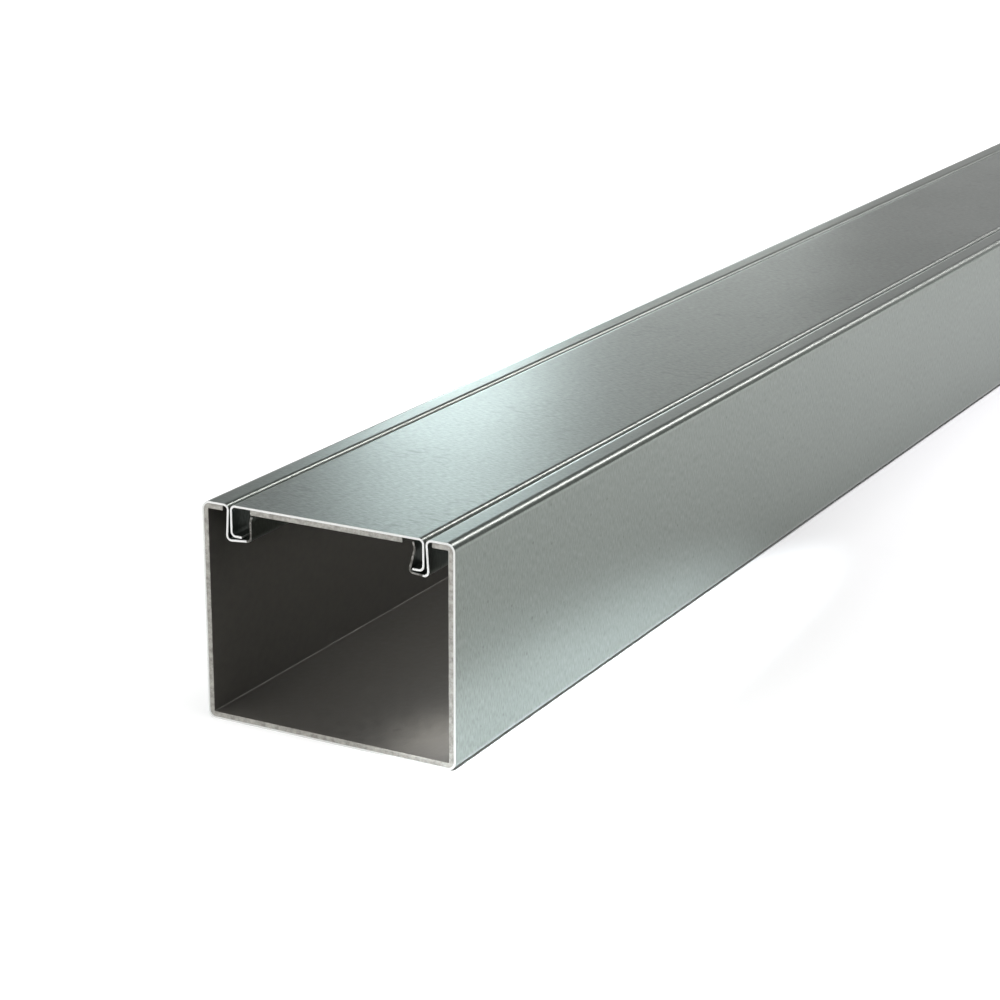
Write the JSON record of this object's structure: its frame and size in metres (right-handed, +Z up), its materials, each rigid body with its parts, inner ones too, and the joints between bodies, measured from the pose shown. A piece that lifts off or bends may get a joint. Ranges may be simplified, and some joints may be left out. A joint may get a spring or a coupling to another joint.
{
  "type": "fire-rated cable duct",
  "caption": "Straight sheet-steel cable duct with a clip-on lid, lined inside with fire-protection board, open at both ends so that cables run through.",
  "frame": {"origin": "bottom centre of the duct: on the underside, midway between the side walls and midway along the length", "axes": "+Y along the duct away from the end that faces the viewer in the picture, +Z up through the lid, +X towards the right-hand side wall (the click side of the lid)"},
  "size_m": [0.1, 2, 0.08],
  "materials": {
    "galvanised_sheet": "satin",
    "fire_lining": "satin"
  },
  "bodies": {
    "duct": {"duct_channel": "galvanised_sheet", "channel_lining": "fire_lining"},
    "lid": {"duct_lid": "galvanised_sheet", "lid_lining": "fire_lining"}
  },
  "joints": [
    {"name": "lid_slide", "type": "slide", "parent": "duct", "child": "lid", "axis": [0, 1, 0], "range_m": [0, 2.02]}
  ]
}
